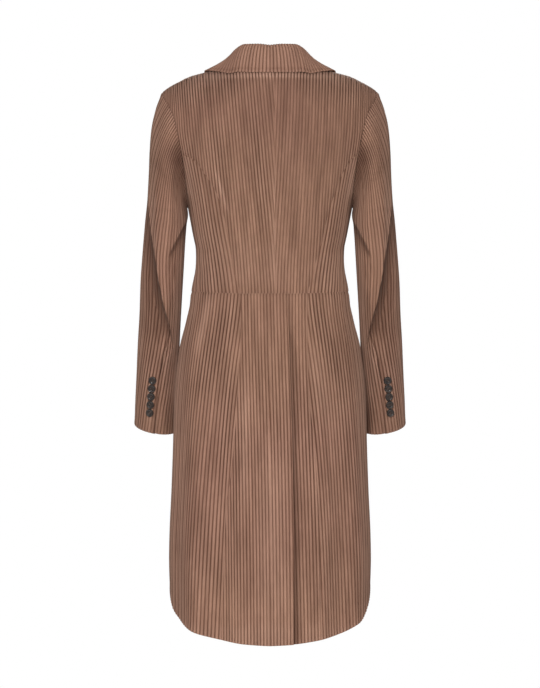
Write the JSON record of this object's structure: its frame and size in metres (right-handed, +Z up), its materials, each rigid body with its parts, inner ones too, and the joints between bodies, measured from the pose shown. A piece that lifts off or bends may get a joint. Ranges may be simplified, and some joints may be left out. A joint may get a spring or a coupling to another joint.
{
  "type": "suit jacket",
  "caption": "Long fitted suit jacket in wide-wale corduroy: bodice to a waist seam, skirt with lapped back vent and cutaway fronts, turned-down collar, cuff buttons.",
  "frame": {"origin": "midway between the shoulders, at the height where they carry the jacket", "axes": "+Z up; the wearer faces -Y and the back of the jacket is +Y; +X is the wearer's left"},
  "size_m": [0.506, 0.2868, 1.109],
  "materials": {
    "corduroy": "wide-wale cotton corduroy, soft pile, brown",
    "horn": "polished dark horn look"
  },
  "bodies": {
    "root": {"back_left": "corduroy", "back_right": "corduroy", "side_left": "corduroy", "side_right": "corduroy", "front_left": "corduroy", "front_right": "corduroy", "lapel_left": "corduroy", "lapel_right": "corduroy", "collar": "corduroy", "skirt_back_left": "corduroy", "skirt_back_right": "corduroy", "skirt_front_left": "corduroy", "skirt_front_right": "corduroy", "top_sleeve_left": "corduroy", "top_sleeve_right": "corduroy", "under_sleeve_left": "corduroy", "under_sleeve_right": "corduroy", "cuff_button_left_1": "horn", "cuff_button_left_2": "horn", "cuff_button_left_3": "horn", "cuff_button_left_4": "horn", "cuff_button_left_5": "horn", "cuff_button_right_1": "horn", "cuff_button_right_2": "horn", "cuff_button_right_3": "horn", "cuff_button_right_4": "horn", "cuff_button_right_5": "horn", "front_button": "horn"}
  },
  "joints": []
}
